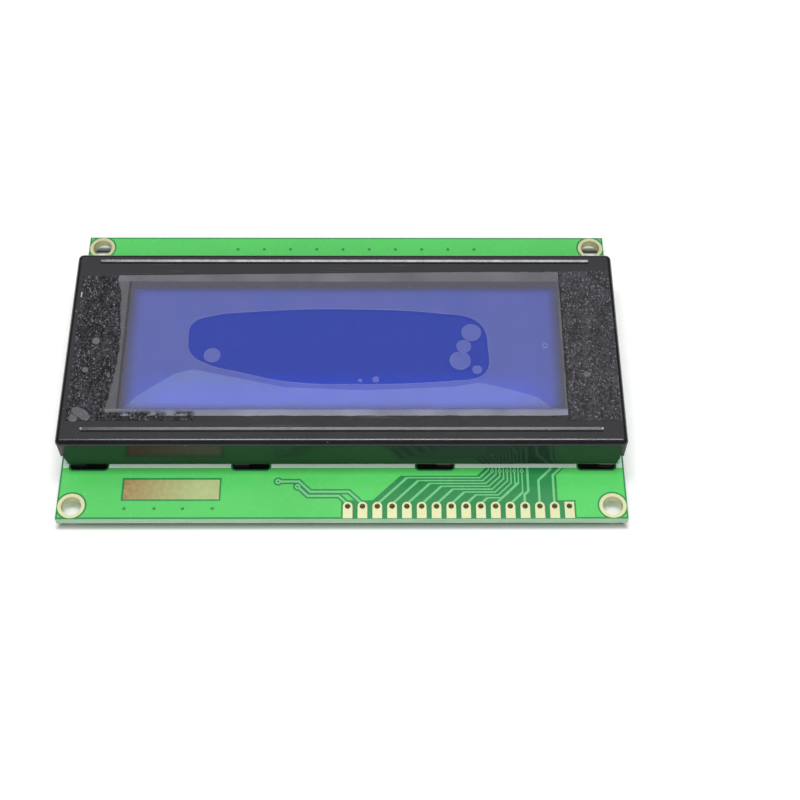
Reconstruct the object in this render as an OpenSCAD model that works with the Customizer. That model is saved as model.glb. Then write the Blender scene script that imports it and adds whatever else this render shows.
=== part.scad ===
// Character LCD module: 20 x 4 display on a drilled board, under a folded steel bezel.
// Frame: the tab feet stand on z = 0, the board is centred on x and y, the pin header is at the front.

/* [Board] */
// Length of the board
board_l = 98; // [97:0.5:110]
// Depth of the board
board_w = 60; // [58:0.5:70]
// Thickness of the board
board_t = 1.6; // [1.2:0.1:2]
// Height of the board above the surface that the tab feet stand on
foot_h = 1.6; // [1.5:0.1:2.5]
// Drawn thickness of the copper
copper_t = 0.05; // [0.03:0.01:0.1]
// Bare margin between copper shapes, and round slots and edges
copper_gap = 0.3; // [0.2:0.05:0.4]
// Bore of a mounting hole, inside its plating
mount_bore = 3.5; // [3:0.1:3.8]
// Distance from a mounting hole's centre to the board's edges
mount_inset = 2.5; // [2.4:0.1:3]
// Width of the plated ring round a mounting hole
mount_ring_w = 0.6; // [0.3:0.1:0.6]
// Wall of the plating in every plated hole
plating_t = 0.1; // [0.05:0.01:0.15]

/* [Pin header] */
// Number of header holes
pin_count = 16; // [14:1:16]
// Distance between two header holes
pin_pitch = 2.54; // [2.4:0.02:2.6]
// Bore of a header hole, inside its plating
pin_bore = 1.0; // [0.8:0.05:1.1]
// Distance from the board's right edge to the first pin
pin_first_inset = 10; // [9:0.5:12]
// Distance from the board's front edge to the pin row
pin_row_inset = 2.4; // [2.2:0.1:2.8]
// Width of a header pad
pad_w = 1.65; // [1.5:0.05:1.8]

/* [Bezel] */
// Distance from the bezel's end to the board's end
bezel_end_inset = 0.2; // [0.2:0.1:2]
// Depth of the bezel
bezel_w = 40; // [39:0.1:41]
// Height of the bezel's top over the board
bezel_h = 8.5; // [7.5:0.1:10]
// Thickness of the bezel's sheet
sheet_t = 0.5; // [0.4:0.05:0.6]
// Outer radius of the bezel's bends
bend_r = 1.0; // [0.8:0.1:1.2]
// Gap between the board and the long walls
long_wall_gap = 1.2; // [0.8:0.1:1.6]
// Gap between the board and the short walls
short_wall_gap = 2.2; // [1.4:0.1:2.6]
// Cut at the lower corners of the long walls
wall_corner_cut = 0.5; // [0.2:0.1:0.8]
// Height of that cut
wall_corner_rise = 2; // [1:0.1:3]
// Width of the bezel's border at each end of the display window
window_end_border = 10.4; // [9:0.1:12]
// Width of the bezel's border in front of the display window
window_front_border = 6.85; // [6:0.05:7.5]
// Width of the bezel's border behind the display window
window_rear_border = 6.5; // [6:0.05:7.5]
// Distance from the bezel's end to a groove's end
groove_end_inset = 4.0; // [3:0.1:8]
// Width of a pressed groove
groove_w = 0.95; // [0.8:0.05:1.1]
// Width of a groove's flat bottom
groove_flat = 0.1; // [0.1:0.05:0.3]
// Depth of a pressed groove
groove_depth = 0.12; // [0.08:0.01:0.2]
// Distance from the bezel's front edge to the front groove's centre
groove_front_inset = 2.7; // [2:0.05:3]
// Distance from the bezel's rear edge to the rear groove's centre
groove_rear_inset = 1.95; // [1.8:0.05:3]

/* [Tabs and slots] */
// Width of a tab
tab_w = 2.6; // [2.2:0.1:3]
// Angle by which a tab's foot is twisted
tab_twist = 42; // [30:1:60]
// Length of a slot in the board
slot_l = 6.4; // [6:0.1:7.4]
// Width of a slot in the board
slot_w = 2.0; // [1.8:0.05:2.2]
// Radius of a slot's corners
slot_corner_r = 0.55; // [0.3:0.05:0.8]
// Room in a slot outside of the bezel's wall
slot_front = 0.45; // [0.3:0.05:1.2]
// Distance from the bezel's end to the outer slot
slot_end_inset = 1.4; // [0.8:0.1:1.6]
// Distance between the centres of the two inner slots
slot_inner_pitch = 32; // [26:0.5:40]
// Play between a tab and its slot's end
tab_play = 0.3; // [0.2:0.05:0.5]

/* [Display cell] */
// Thickness of one glass plate
glass_t = 1.1; // [0.7:0.1:1.2]
// Thickness of a polarizer
polarizer_t = 0.25; // [0.2:0.05:0.3]
// Height of the seal between the two plates
seal_t = 0.1; // [0.05:0.05:0.2]
// Width of the seal
seal_w = 1.0; // [0.6:0.1:1.4]
// Clearance between the front glass and the bezel's walls
glass_play = 0.3; // [0.2:0.05:0.5]
// Contact ledge of the front glass along each long side
glass_ledge = 3.25; // [3.2:0.05:3.6]
// Reach of a polarizer past the window
polarizer_lap = 1.0; // [0.6:0.1:1.4]

/* [Protective film] */
// Bare strip between the film and the bezel's left end
film_left_inset = 1.4; // [0.8:0.1:3]
// Bare strip between the film and the bezel's right end
film_right_inset = 0.8; // [0.4:0.1:3]
// Reach of the film past the window's front edge
film_front_lap = 2.4; // [1.5:0.1:3]
// Reach of the film past the window's rear edge
film_rear_lap = 2.4; // [1.5:0.1:3]
// Thickness of the protective film
film_t = 0.08; // [0.05:0.01:0.15]

/* [Elastomer connectors] */
// Width of a connector strip
strip_w = 2.3; // [2:0.05:2.4]
// Distance from a connector strip's end to the bezel's end
strip_end_inset = 4.8; // [3:0.1:8]
// Clearance between a connector strip and the bezel's wall
strip_play = 0.65; // [0.6:0.05:0.8]
// Distance between two contact fingers
finger_pitch = 1.6; // [1.4:0.1:2.4]

/* [Backlight] */
// Distance from the tray's end to the bezel's end
tray_end_inset = 2.3; // [1.5:0.1:4]
// Wall of the backlight's tray
tray_wall = 1.0; // [0.8:0.05:1.2]
// Floor of the backlight's tray
tray_floor = 0.6; // [0.5:0.05:0.8]
// Thickness of the reflector sheet
reflector_t = 0.2; // [0.1:0.05:0.3]
// Thickness of the diffuser sheet
diffuser_t = 0.3; // [0.2:0.05:0.4]
// Clearance round the sheets and the light guide
guide_play = 0.1; // [0.05:0.01:0.15]
// Thickness of the strip board that carries the LEDs
led_board_t = 0.8; // [0.6:0.1:1]
// Number of LEDs
led_count = 4; // [2:1:6]
// Length of one LED
led_l = 3.0; // [2.5:0.1:3.5]
// Height of one LED
led_h = 1.4; // [1:0.1:1.8]
// Depth of one LED
led_d = 0.7; // [0.5:0.05:0.9]
// Height of the LEDs over the reflector sheet
led_lift = 0.3; // [0.2:0.05:0.5]
// Diameter of a backlight lead
lead_d = 0.6; // [0.5:0.05:0.7]
// Distance between the two leads
lead_pitch = 20; // [10:0.5:22]

/* [Underside] */
// Radius of the controller's epoxy drop
controller_r = 8; // [7:0.1:9]
// Radius of a driver's epoxy drop
driver_r = 7; // [6:0.1:8]
// Height of an epoxy drop
drop_h = 1.3; // [1:0.05:1.35]
// Distance between two epoxy drops
drop_pitch = 26; // [24:0.5:28]
// Length of a chip resistor
chip_l = 2.0; // [1.6:0.1:2.4]
// Width of a chip resistor
chip_w = 1.25; // [1:0.05:1.5]
// Height of a chip resistor
chip_h = 0.5; // [0.4:0.05:0.7]
// Number of chip resistors
chip_count = 6; // [3:1:7]
// Distance between two chip resistors
chip_pitch = 3.2; // [2.8:0.1:4]

/* [Hidden] */
$fn = 48;
nudge = 0.01;

board_top = foot_h + board_t;
mount_x = board_l / 2 - mount_inset;
mount_y = board_w / 2 - mount_inset;
mount_ring_r = mount_bore / 2 + mount_ring_w;

// Header: pin 1 is the rightmost one, seen from above.
pin_row_y = -board_w / 2 + pin_row_inset;
pad_top_y = pin_row_y + pad_w / 2;
pad_end_gap = 0.1;
pad_end_y = -board_w / 2 + pad_end_gap;
pins = [1 : pin_count];
function pin_x(pin) = board_l / 2 - pin_first_inset - (pin - 1) * pin_pitch;

// Bezel: half sizes and levels over the board's top.
bezel_l = board_l - 2 * bezel_end_inset;
window_l = bezel_l - 2 * window_end_border;
window_w = bezel_w - window_front_border - window_rear_border;
window_y = (window_front_border - window_rear_border) / 2;
groove_l = bezel_l - 2 * groove_end_inset;
bezel_x = bezel_l / 2;
bezel_y = bezel_w / 2;
bezel_top = board_top + bezel_h;
inner_r = bend_r - sheet_t;
groove_ys = [-bezel_y + groove_front_inset, bezel_y - groove_rear_inset];
wall_lap = 0.1;

// Slots and tabs: four along each long side, a tab at the outer end of each slot.
slot_y = bezel_y + slot_front - slot_w / 2;
slot_outer_x = bezel_x - slot_end_inset - slot_l / 2;
slot_inner_x = slot_inner_pitch / 2;
slot_xs = [-slot_outer_x, -slot_inner_x, slot_inner_x, slot_outer_x];
function tab_x(slot_x) = slot_x + sign(slot_x) * (slot_l / 2 - tab_play - tab_w / 2);
tab_neck = 0.1;
tab_straight_z = foot_h - tab_neck;

// Display cell, from the bezel's underside down.
glass_top = bezel_top - sheet_t - polarizer_t;
glass_l = bezel_l - 2 * sheet_t - 2 * glass_play;
glass_w = bezel_w - 2 * sheet_t - 2 * glass_play;
front_glass_z = glass_top - glass_t;
rear_glass_w = glass_w - 2 * glass_ledge;
rear_glass_top = front_glass_z - seal_t;
rear_glass_z = rear_glass_top - glass_t;
polarizer_l = window_l + 2 * polarizer_lap;
polarizer_w = window_w + 2 * polarizer_lap;

// Protective film, laid a little askew of the window's middle.
film_l = bezel_l - film_left_inset - film_right_inset;
film_w = window_w + film_front_lap + film_rear_lap;
film_x = (film_left_inset - film_right_inset) / 2;
film_y = window_y + (film_rear_lap - film_front_lap) / 2;

// Elastomer connectors and the copper fingers that they stand on.
strip_l = bezel_l - 2 * strip_end_inset;
strip_y = bezel_y - sheet_t - strip_play - strip_w / 2;
strip_z = board_top + copper_t;
finger_w = finger_pitch / 2;
finger_count = floor((strip_l - finger_w) / finger_pitch);

// Backlight: a tray on the board that holds reflector, guide and diffuser.
tray_z = board_top + copper_t;
tray_l = bezel_l - 2 * tray_end_inset;
tray_w = rear_glass_w;
tray_in_l = tray_l - 2 * tray_wall;
tray_in_w = tray_w - 2 * tray_wall;
reflector_z = tray_z + tray_floor;
guide_z = reflector_z + reflector_t;
diffuser_top = rear_glass_z - polarizer_t - guide_play;
diffuser_z = diffuser_top - diffuser_t;
led_board_x = tray_in_l / 2 - led_board_t;
led_x = led_board_x - led_d;
guide_end_x = led_x - guide_play;
guide_l = guide_end_x + tray_in_l / 2 - guide_play;
guide_w = tray_in_w - 2 * guide_play;
led_pitch = guide_w / led_count;
lead_x = led_board_x + led_board_t / 2;
lead_play = 0.15;
lead_hole_r = lead_d / 2 + lead_play;
lead_foot = 0.5;
solder_rim = copper_gap / 2;
solder_neck = 0.1;

// Underside
under_copper_z = foot_h - copper_t;
drop_y = 3;
driver_xs = [-drop_pitch, drop_pitch];
star_reach = 1.8;
star_w = 0.3;
star_root = 0.6;
controller_pins = 48;
driver_pins = 40;
chip_row_inset = 15;
chip_row_x = -board_l / 2 + chip_row_inset;
chip_row_y = -(slot_y + slot_w / 2 + board_w / 2) / 2;
chip_pad_in = 0.3;
chip_pad_out = 0.6;

// Front copper: lane heights and ends of the tracks that fan out from the pins.
lane_w = 0.24;
leg_w = 0.42;
leg_shift = 0.4;
lane_pitch = 0.56;
lane_rise = 4.7;
fan_pitch = 0.64;
fan_left = 13.65;
fan_turn = 1.6;
fan_turn_step = 0.12;
via_d = 0.7;
via_bore = 0.25;
via_front = 0.8;
lamp_via_d = 1.0;
lamp_via_bore = 0.35;
power_rise = 2.2;
power_drops = [2.6, 1.6];
power_steps = [0.7, 2.2, 1.6];
lamp_rises = [4.8, 2.8, 2.0];
lamp_reach = 12.1;
lamp_turn = 6.5;
lamp_inner_reach = 2.2;
lamp_inner_drop = 1.8;
fan_margin = [1.1, 0.4, 0.6];
lane_top_y = pad_top_y + lane_rise;
fan_x = pin_x(1) - fan_left;
fan_end_y = -strip_y - strip_w / 2 - copper_gap;

// Bare window in the lacquer, near the front left corner.
label_l = 16.5;
label_w = 3.85;
label_end_inset = 11.2;
label_front_inset = 3.75;
label_depth = 0.03;
label_x = -board_l / 2 + label_end_inset + label_l / 2;
label_y = -board_w / 2 + label_front_inset + label_w / 2;

// Printed line round the bezel's foot.
print_t = 0.03;
print_out = 0.12;
print_in = 0.7;

// ---------- Shapes that several sub-parts share ----------

function unit(v) = v / norm(v);
function left_of(v) = [-v[1], v[0]];
function side_step(path, i) =
    i == 0 ? left_of(unit(path[1] - path[0]))
    : i == len(path) - 1 ? left_of(unit(path[i] - path[i - 1]))
    : let (a = left_of(unit(path[i] - path[i - 1])), b = left_of(unit(path[i + 1] - path[i])))
      (a + b) / (1 + a * b);

// A ribbon of constant width along a path, with mitred corners.
module ribbon(path, width) {
    last = len(path) - 1;
    polygon(concat([for (i = [0 : last]) path[i] + side_step(path, i) * width / 2],
                   [for (i = [last : -1 : 0]) path[i] - side_step(path, i) * width / 2]));
}

module plate(size_x, size_y, z, t) {
    translate([-size_x / 2, -size_y / 2, z]) cube([size_x, size_y, t]);
}

module at_mounts() {
    for (sx = [-1, 1], sy = [-1, 1]) translate([sx * mount_x, sy * mount_y]) children();
}

module at_pins() {
    for (pin = pins) translate([pin_x(pin), pin_row_y]) children();
}

module at_slots() {
    for (x = slot_xs, sy = [-1, 1]) translate([x, sy * slot_y]) children();
}

module at_leads() {
    for (sy = [-1, 1]) translate([lead_x, sy * lead_pitch / 2]) children();
}

// A slot's outline with round corners, grown by a margin.
module slot_2d(margin) {
    r = slot_corner_r + margin;
    half_l = slot_l / 2 + margin;
    half_w = slot_w / 2 + margin;
    square([2 * half_l, 2 * (half_w - r)], center = true);
    square([2 * (half_l - r), 2 * half_w], center = true);
    for (sx = [-1, 1], sy = [-1, 1]) translate([sx * (half_l - r), sy * (half_w - r)]) circle(r = r);
}

module label_2d(margin) {
    translate([label_x, label_y]) square([label_l + 2 * margin, label_w + 2 * margin], center = true);
}

// Header pads: arched towards the board's middle, straight to its front edge; pin 1 has a square pad.
module pads_2d() {
    for (pin = pins) translate([pin_x(pin), pin_row_y]) {
        circle(d = pad_w);
        translate([-pad_w / 2, pad_end_y - pin_row_y]) square([pad_w, pin_row_y - pad_end_y]);
    }
    translate([pin_x(1) - pad_w / 2, pin_row_y]) square([pad_w, pad_w / 2]);
}

// ---------- Board and its copper ----------

module pcb() {
    color("darkgreen") difference() {
        plate(board_l, board_w, foot_h, board_t);
        translate([0, 0, foot_h - nudge]) {
            at_mounts() cylinder(r = mount_bore / 2 + plating_t, h = board_t + 2 * nudge);
            at_pins() cylinder(r = pin_bore / 2 + plating_t, h = board_t + 2 * nudge);
            at_leads() cylinder(r = lead_hole_r, h = board_t + 2 * nudge);
            at_slots() linear_extrude(board_t + 2 * nudge) slot_2d(0);
        }
        translate([0, 0, board_top - label_depth]) linear_extrude(1) label_2d(0);
    }
}

// Paths of the front tracks.
function leg_path(lane) =
    let (x0 = pin_x(14 - lane) - leg_shift, x_end = fan_x + lane * fan_pitch, y = lane_top_y - lane * lane_pitch)
    lane < 8 ? [[x0, pin_row_y], [x0 + y - pin_row_y, y]]
    : [[x0, pin_row_y], [x_end, pin_row_y + x_end - x0]];

function lane_path(lane) =
    let (start = leg_path(lane)[1], x_end = fan_x + lane * fan_pitch, rise = lane < 8 ? fan_turn + fan_turn_step * lane : 0)
    lane < 8 ? [start, [x_end - rise, start[1]], [x_end, start[1] + rise], [x_end, fan_end_y]]
    : [start, [x_end, fan_end_y]];

// A track straight up from a pin to height turn_y, then aside by a step, and on under the bezel.
function power_path(pin, turn_y, step) =
    [[pin_x(pin), pin_row_y], [pin_x(pin), turn_y], [pin_x(pin) + step, turn_y + step], [pin_x(pin) + step, fan_end_y]];

power_paths = [power_path(4, pin_row_y + power_rise, power_steps[0]),
               power_path(3, -bezel_y - power_drops[0], power_steps[1]),
               power_path(2, -bezel_y - power_drops[1], power_steps[2])];

// The two tracks to the backlight's vias, left of the header: level, down at 45 degrees, level, down to the pin.
lamp_high_y = pin_row_y + lamp_rises[0];
lamp_mid_y = pin_row_y + lamp_rises[1];
lamp_low_y = pin_row_y + lamp_rises[2];
lamp_end_y = pin_row_y + leg_w;
lamp_x = pin_x(pin_count);
lamp_paths = [
    [[lamp_x - lamp_reach, lamp_high_y], [lamp_x - lamp_turn - lamp_high_y + lamp_mid_y, lamp_high_y],
     [lamp_x - lamp_turn, lamp_mid_y], [pin_x(pin_count - 1) - lamp_mid_y + lamp_end_y, lamp_mid_y],
     [pin_x(pin_count - 1), lamp_end_y]],
    [[lamp_x - lamp_turn - lamp_inner_reach, lamp_low_y + lamp_inner_drop],
     [lamp_x - lamp_turn - lamp_inner_reach + lamp_inner_drop, lamp_low_y],
     [lamp_x - lamp_low_y + lamp_end_y, lamp_low_y], [lamp_x, lamp_end_y]],
];
via_spots = [for (lane = [1 : 2 : 9]) [fan_x + lane * fan_pitch, -bezel_y - via_front]];
lamp_via_spots = [lamp_paths[0][0], lamp_paths[1][0]];

// Bare region under the tracks that fan out from the pins.
module fan_region_2d() {
    left = pin_x(14) - fan_margin[0];
    top = lane_top_y + fan_margin[1];
    right = pin_x(2) + fan_margin[2];
    fan_side = fan_x - fan_margin[2] + leg_w / 4;
    turn_y = -bezel_y - power_drops[1];
    rise = top - pad_top_y;
    polygon([[left, pin_row_y], [left, pad_top_y], [left + rise, top], [fan_side - fan_turn, top],
             [fan_side, top + fan_turn], [fan_side, fan_end_y],
             [right + power_steps[2], fan_end_y], [right + power_steps[2], turn_y + power_steps[2]],
             [right, turn_y], [right, pin_row_y]]);
}

module tracks_2d() {
    difference() {
        union() {
            for (lane = [0 : 9]) {
                ribbon(leg_path(lane), leg_w);
                ribbon(lane_path(lane), lane_w);
            }
            for (path = power_paths) ribbon(path, leg_w);
            for (path = lamp_paths) ribbon(path, leg_w);
            for (spot = via_spots) translate(spot) circle(d = via_d);
            for (spot = lamp_via_spots) translate(spot) circle(d = lamp_via_d);
        }
        pads_2d();
        for (spot = via_spots) translate(spot) circle(d = via_bore);
        for (spot = lamp_via_spots) translate(spot) circle(d = lamp_via_bore);
    }
}

module front_tracks() {
    color("mediumseagreen") translate([0, 0, board_top]) linear_extrude(copper_t) tracks_2d();
}

module fingers_2d() {
    for (i = [0 : finger_count], sy = [-1, 1])
        translate([(i - finger_count / 2) * finger_pitch, sy * strip_y]) square([finger_w, strip_w], center = true);
}

module contact_fingers() {
    color("gold") translate([0, 0, board_top]) linear_extrude(copper_t) fingers_2d();
}

// Copper pour, kept clear of everything else on the board.
module plane_2d() {
    difference() {
        square([board_l - 2 * copper_gap, board_w - 2 * copper_gap], center = true);
        at_mounts() circle(r = mount_ring_r + copper_gap);
        at_slots() slot_2d(copper_gap);
        at_leads() circle(r = lead_hole_r + copper_gap);
    }
}

module front_ground_plane() {
    pads_left = pin_x(pin_count) - pad_w / 2 - copper_gap;
    pads_right = pin_x(1) + pad_w / 2 + copper_gap;
    color("limegreen") translate([0, 0, board_top]) linear_extrude(copper_t) difference() {
        plane_2d();
        label_2d(copper_gap);
        translate([pads_left, -board_w / 2]) square([pads_right - pads_left, pin_row_inset + pad_w / 2 + copper_gap]);
        fan_region_2d();
        for (path = lamp_paths) ribbon(path, leg_w + 2 * copper_gap);
        for (spot = lamp_via_spots) translate(spot) circle(d = lamp_via_d + 2 * copper_gap);
        for (sy = [-1, 1]) translate([0, sy * strip_y])
            square([strip_l + 2 * copper_gap, strip_w + 2 * copper_gap], center = true);
    }
}

module header_pads() {
    color("palegoldenrod") difference() {
        union() {
            translate([0, 0, board_top]) linear_extrude(copper_t) pads_2d();
            translate([0, 0, under_copper_z]) at_pins() {
                cylinder(d = pad_w, h = copper_t);
                cylinder(r = pin_bore / 2 + plating_t, h = board_t + copper_t + nudge);
            }
        }
        translate([0, 0, under_copper_z - nudge]) at_pins() cylinder(d = pin_bore, h = board_t + 1);
    }
}

module mounting_rings() {
    color("palegoldenrod") translate([0, 0, under_copper_z]) at_mounts() difference() {
        union() {
            cylinder(r = mount_bore / 2 + plating_t, h = board_t + 2 * copper_t);
            cylinder(r = mount_ring_r, h = copper_t);
            translate([0, 0, board_t + copper_t]) cylinder(r = mount_ring_r, h = copper_t);
        }
        translate([0, 0, -nudge]) cylinder(d = mount_bore, h = board_t + 1);
    }
}

// Printed line that frames the bezel's foot, broken by the slots.
module bezel_outline_print() {
    color("aquamarine") translate([0, 0, board_top + copper_t]) linear_extrude(print_t) difference() {
        square([min(bezel_l + 2 * print_out, board_l - 2 * copper_gap), bezel_w + 2 * print_out], center = true);
        square([bezel_l - 2 * print_in, bezel_w - 2 * print_in], center = true);
        at_slots() slot_2d(copper_gap);
    }
}

// ---------- Bezel: one folded steel sheet ----------

// A quarter bend along x, from the flat top (at y = 0) down to a wall on the -y side.
module bend(length) {
    rotate([90, 0, 90]) linear_extrude(length, center = true) intersection() {
        difference() {
            circle(r = bend_r);
            circle(r = inner_r);
        }
        translate([-bend_r, 0]) square(bend_r);
    }
}

// The pressed groove, or the bulge below it: a channel with sloped sides and ends, which
// reaches a given depth down from z = 0, and up to a given height on the same slopes.
module groove_body(depth, rise) {
    slope = (groove_w - groove_flat) / 2 / depth;
    low = groove_flat / 2;
    high = groove_w / 2 + rise * slope;
    run = groove_l - groove_w;
    rotate([90, 0, 90]) linear_extrude(run, center = true)
        polygon([[-low, -depth], [low, -depth], [high, rise], [-high, rise]]);
    for (sx = [-1, 1]) translate([sx * run / 2, 0, -depth]) cylinder(r1 = low, r2 = high, h = depth + rise);
}

// One long wall: a plate with cut lower corners, and its four tabs with twisted feet.
module long_wall() {
    half = bezel_x - bend_r + wall_lap;
    top_z = bezel_top - bend_r;
    low_z = board_top + long_wall_gap;
    translate([0, -bezel_y, 0]) {
        translate([0, sheet_t, 0]) rotate([90, 0, 0]) linear_extrude(sheet_t) polygon([
            [-bezel_x + bend_r, top_z], [-half, top_z - wall_lap], [-half, low_z + wall_corner_rise], [-half + wall_corner_cut, low_z],
            [half - wall_corner_cut, low_z], [half, low_z + wall_corner_rise], [half, top_z - wall_lap], [bezel_x - bend_r, top_z]]);
        for (x = slot_xs) translate([tab_x(x), 0, 0]) {
            translate([-tab_w / 2, 0, tab_straight_z]) cube([tab_w, sheet_t, low_z - tab_straight_z + nudge]);
            translate([0, sheet_t / 2, tab_straight_z]) rotate([180, 0, 0])
                linear_extrude(tab_straight_z, twist = sign(x) * tab_twist, slices = 8, segments = 4)
                    square([tab_w, sheet_t], center = true);
        }
    }
}

module short_wall() {
    half = bezel_y - bend_r;
    translate([bezel_x - sheet_t, -half, board_top + short_wall_gap])
        cube([sheet_t, 2 * half, bezel_h - bend_r - short_wall_gap]);
}

module bezel() {
    flat_l = bezel_l - 2 * bend_r;
    flat_w = bezel_w - 2 * bend_r;
    color("dimgray") {
        difference() {
            union() {
                plate(flat_l, flat_w, bezel_top - sheet_t, sheet_t);
                for (turn = [0, 180]) rotate([0, 0, turn]) {
                    translate([0, -flat_w / 2, bezel_top - bend_r]) bend(flat_l);
                    long_wall();
                    short_wall();
                    translate([flat_l / 2, 0, bezel_top - bend_r]) rotate([0, 0, 90]) bend(flat_w);
                }
                for (y = groove_ys) translate([0, y, bezel_top - sheet_t]) groove_body(polarizer_t, sheet_t / 4);
                for (sx = [-1, 1], sy = [-1, 1]) translate([sx * flat_l / 2, sy * flat_w / 2, bezel_top - bend_r])
                    intersection() {
                        difference() {
                            sphere(r = bend_r);
                            sphere(r = inner_r);
                        }
                        translate([min(0, sx * bend_r), min(0, sy * bend_r), 0]) cube(bend_r);
                    }
            }
            translate([0, window_y, 0]) plate(window_l, window_w, bezel_top - 2 * sheet_t, 4 * sheet_t);
            for (y = groove_ys) translate([0, y, bezel_top]) groove_body(groove_depth, sheet_t / 4);
        }
    }
}

// ---------- Film and display cell ----------

module protective_film() {
    color("lightsteelblue", 0.5) translate([film_x, film_y, 0]) plate(film_l, film_w, bezel_top, film_t);
}

module front_polarizer() {
    color("slateblue") translate([0, window_y, 0]) plate(polarizer_l, polarizer_w, glass_top, polarizer_t);
}

module front_glass() {
    color("lightblue", 0.6) plate(glass_l, glass_w, front_glass_z, glass_t);
}

module cell_seal() {
    color("gray") difference() {
        plate(glass_l, rear_glass_w, rear_glass_top, seal_t);
        plate(glass_l - 2 * seal_w, rear_glass_w - 2 * seal_w, rear_glass_top - 1, 3);
    }
}

module rear_glass() {
    color("lightblue", 0.6) plate(glass_l, rear_glass_w, rear_glass_z, glass_t);
}

module rear_polarizer() {
    color("darkslateblue") translate([0, window_y, 0]) plate(polarizer_l, polarizer_w, rear_glass_z - polarizer_t, polarizer_t);
}

module connector_strip(side) {
    color("plum") translate([0, side * strip_y, 0]) plate(strip_l, strip_w, strip_z, front_glass_z - strip_z);
}

module connector_strip_front() { connector_strip(-1); }
module connector_strip_rear() { connector_strip(1); }

// ---------- Backlight ----------

module backlight_tray() {
    color("white") difference() {
        plate(tray_l, tray_w, tray_z, rear_glass_z - tray_z);
        plate(tray_in_l, tray_in_w, reflector_z, rear_glass_z);
        translate([0, 0, tray_z - nudge]) at_leads() cylinder(r = lead_hole_r, h = tray_floor + 2 * nudge);
    }
}

module guide_sheet(z, t) {
    translate([(guide_end_x - tray_in_l / 2 + guide_play) / 2, 0, 0]) plate(guide_l, guide_w, z, t);
}

module reflector_sheet() { color("silver") guide_sheet(reflector_z, reflector_t); }
module light_guide() { color("lightcyan") guide_sheet(guide_z, diffuser_z - guide_z); }
module diffuser_sheet() { color("ghostwhite") guide_sheet(diffuser_z, diffuser_t); }

module led_board() {
    color("ivory") translate([led_board_x, -guide_w / 2, reflector_z])
        cube([led_board_t, guide_w, diffuser_top - reflector_z]);
}

module led_chips() {
    color("khaki") for (i = [0 : led_count - 1])
        translate([led_x, (i - (led_count - 1) / 2) * led_pitch - led_l / 2, guide_z + led_lift]) cube([led_d, led_l, led_h]);
}

module backlight_leads() {
    color("silver") at_leads() translate([0, 0, foot_h - lead_foot]) cylinder(d = lead_d, h = reflector_z - foot_h + lead_foot);
}

// ---------- Underside ----------

module lead_solder() {
    color("silver") at_leads() translate([0, 0, foot_h]) rotate_extrude()
        polygon([[lead_d / 2, 0], [lead_hole_r + solder_rim, 0], [lead_hole_r, -solder_neck],
                 [lead_d / 2 + solder_neck, solder_neck - lead_foot], [lead_d / 2, solder_neck - lead_foot]]);
}

// A flat drop of epoxy over a bonded chip: the cap of a large sphere.
module drop(r) {
    ball_r = (r * r + drop_h * drop_h) / (2 * drop_h);
    translate([0, drop_y, under_copper_z]) rotate_extrude() intersection() {
        translate([0, ball_r - drop_h]) circle(r = ball_r, $fn = 360);
        translate([0, -drop_h]) square([r, drop_h]);
    }
}

module controller_drop() { color("black") drop(controller_r); }
module driver_drops() { color("black") for (x = driver_xs) translate([x, 0, 0]) drop(driver_r); }

module drop_outline_2d(margin) {
    translate([0, drop_y]) circle(r = controller_r + margin);
    for (x = driver_xs) translate([x, drop_y]) circle(r = driver_r + margin);
}

// Tracks that run out from under the drops.
module star_2d(r, count) {
    for (i = [0 : count - 1]) rotate(i * 360 / count)
        translate([r - star_root, -star_w / 2]) square([star_reach + star_root, star_w]);
}

module at_chips() {
    for (i = [0 : chip_count - 1]) translate([chip_row_x + i * chip_pitch, chip_row_y]) children();
}

module at_chip_ends() {
    at_chips() for (turn = [0, 180]) rotate([0, 0, turn]) translate([0, chip_l / 2]) children();
}

module back_tracks() {
    color("mediumseagreen") translate([0, 0, under_copper_z]) linear_extrude(copper_t) {
        translate([0, drop_y]) star_2d(controller_r, controller_pins);
        for (x = driver_xs) translate([x, drop_y]) star_2d(driver_r, driver_pins);
        at_chip_ends() translate([-chip_w / 2, -chip_pad_in]) square([chip_w, chip_pad_in + chip_pad_out]);
    }
}

module back_ground_plane() {
    color("limegreen") translate([0, 0, under_copper_z]) linear_extrude(copper_t) difference() {
        plane_2d();
        drop_outline_2d(star_reach + copper_gap);
        at_pins() circle(d = pad_w + 2 * copper_gap);
        translate([chip_row_x - chip_w, chip_row_y - chip_l / 2 - chip_pad_out - copper_gap])
            square([(chip_count - 1) * chip_pitch + 2 * chip_w, chip_l + 2 * chip_pad_out + 2 * copper_gap]);
    }
}

module chip_resistors() {
    color("black") at_chips() translate([-chip_w / 2, -chip_l / 2, under_copper_z - chip_h])
        cube([chip_w, chip_l, chip_h]);
}

// Solder wedges at both ends of each chip.
module chip_solder() {
    color("silver") at_chip_ends() translate([-chip_w / 2, 0, under_copper_z])
        rotate([90, 0, 90]) linear_extrude(chip_w)
            polygon([[0, 0], [chip_pad_out, 0], [0.1, -chip_h * 0.8], [0, -chip_h * 0.8]]);
}

pcb();
front_ground_plane();
front_tracks();
header_pads();
mounting_rings();
contact_fingers();
bezel_outline_print();
bezel();
protective_film();
front_polarizer();
front_glass();
cell_seal();
rear_glass();
rear_polarizer();
connector_strip_front();
connector_strip_rear();
backlight_tray();
reflector_sheet();
light_guide();
diffuser_sheet();
led_board();
led_chips();
backlight_leads();
back_ground_plane();
back_tracks();
controller_drop();
driver_drops();
chip_resistors();
chip_solder();
lead_solder();
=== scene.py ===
import bpy
import bmesh
import math
from mathutils import Matrix, Vector


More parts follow.
